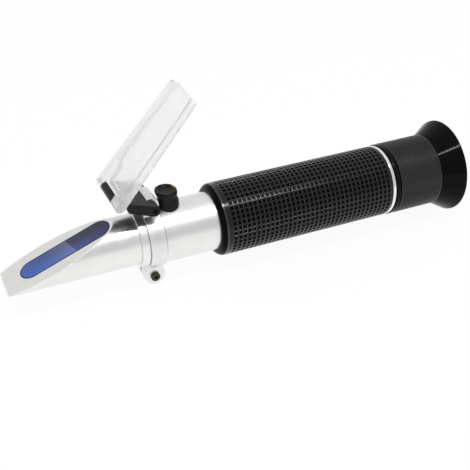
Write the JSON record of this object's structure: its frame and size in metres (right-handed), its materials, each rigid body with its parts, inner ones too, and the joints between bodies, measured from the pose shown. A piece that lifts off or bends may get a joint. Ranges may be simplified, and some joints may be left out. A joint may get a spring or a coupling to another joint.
{
  "type": "honey refractometer",
  "caption": "Handheld refractometer with an oblique prism window, a clear hinged daylight plate, a capped calibration screw, a rubber grip and a focusing eyepiece.",
  "frame": {"origin": "centre of the eyecup's rim, on the optical axis", "axes": "+X out of the eyepiece along the optical axis, +Z towards the sample face, hinge and calibration cap, -Y the side of the clamp screw's head"},
  "size_m": [0.1827, 0.0372, 0.0754],
  "materials": {
    "satin_aluminium": "satin turned",
    "bright_ring": "polished",
    "inner_metal": "dark anodised",
    "black_metal": "satin black",
    "steel": "bright",
    "dark_steel": "blackened",
    "brass": "turned",
    "black_plastic": "satin moulded",
    "gloss_rubber": "glossy moulded rubber",
    "grip_rubber": "matt moulded rubber",
    "clear_plastic": "clear moulded",
    "prism_glass": "polished, blue backed",
    "lens_glass": "polished",
    "seal": "matt sealing compound"
  },
  "bodies": {
    "housing": {"front_barrel": "satin_aluminium", "main_prism": "prism_glass", "prism_seal": "seal", "barrel_seal_ring": "seal", "rear_tube": "satin_aluminium", "inner_tube": "inner_metal", "rubber_grip": "grip_rubber", "trim_ring": "bright_ring", "reticle_holder": "inner_metal", "reticle": "lens_glass", "reticle_ring": "inner_metal", "light_baffle": "inner_metal", "eyepiece_mount": "black_metal", "guide_pin": "steel", "clamp_ring": "satin_aluminium", "clamp_screw": "dark_steel", "clamp_nut": "steel", "bracket_pin": "steel", "calibration_bush": "brass", "guide_posts": "steel", "temperature_strip": "brass", "strip_rivet": "steel"},
    "bracket": {"lid_bracket": "black_plastic", "lid_pin": "steel"},
    "lid": {"daylight_plate": "clear_plastic"},
    "screw": {"calibration_screw": "brass"},
    "cell": {"lens_cell": "inner_metal", "objective_lens": "lens_glass", "objective_ring": "black_metal"},
    "cap": {"rubber_cap": "grip_rubber"},
    "eyepiece": {"lens_barrel": "black_metal", "barrel_clip": "steel", "field_lens": "lens_glass", "lens_spacer": "black_metal", "eye_lens": "lens_glass", "eye_lens_ring": "black_metal"},
    "focus": {"focus_ring": "black_plastic", "eyecup": "gloss_rubber"}
  },
  "joints": [
    {"name": "bracket_pivot", "type": "hinge", "parent": "housing", "child": "bracket", "pos_m": [-0.1283, 0, 0.0154], "axis": [0, -1, 0], "range_deg": [0, 40]},
    {"name": "lid_pivot", "type": "hinge", "parent": "bracket", "child": "lid", "pos_m": [-0.1417, 0, 0.02137], "axis": [0, -1, 0], "range_deg": [-2.5, 111.7]},
    {"name": "focus_turn", "type": "hinge", "parent": "eyepiece", "child": "focus", "pos_m": [-0.018, 0, 0], "axis": [1, 0, 0], "range_deg": [0, 540]},
    {"name": "focus_slide", "type": "slide", "parent": "housing", "child": "eyepiece", "axis": [1, 0, 0], "range_m": [0, 0.003]},
    {"name": "calibration_turn", "type": "hinge", "parent": "housing", "child": "screw", "pos_m": [-0.1203, 0, 0.0138], "axis": [0, 0, 1], "range_deg": [-360, 360]},
    {"name": "cell_slide", "type": "slide", "parent": "housing", "child": "cell", "axis": [0, 0, 1], "range_m": [-0.0005, 0.0005]},
    {"name": "cap_pull", "type": "slide", "parent": "housing", "child": "cap", "axis": [0, 0, 1], "range_m": [0, 0.008]}
  ],
  "couplings": [
    {"joint": "focus_turn", "follows": "focus_slide", "rad_per_m": 3141.6},
    {"joint": "calibration_turn", "follows": "cell_slide", "rad_per_m": 12566}
  ]
}
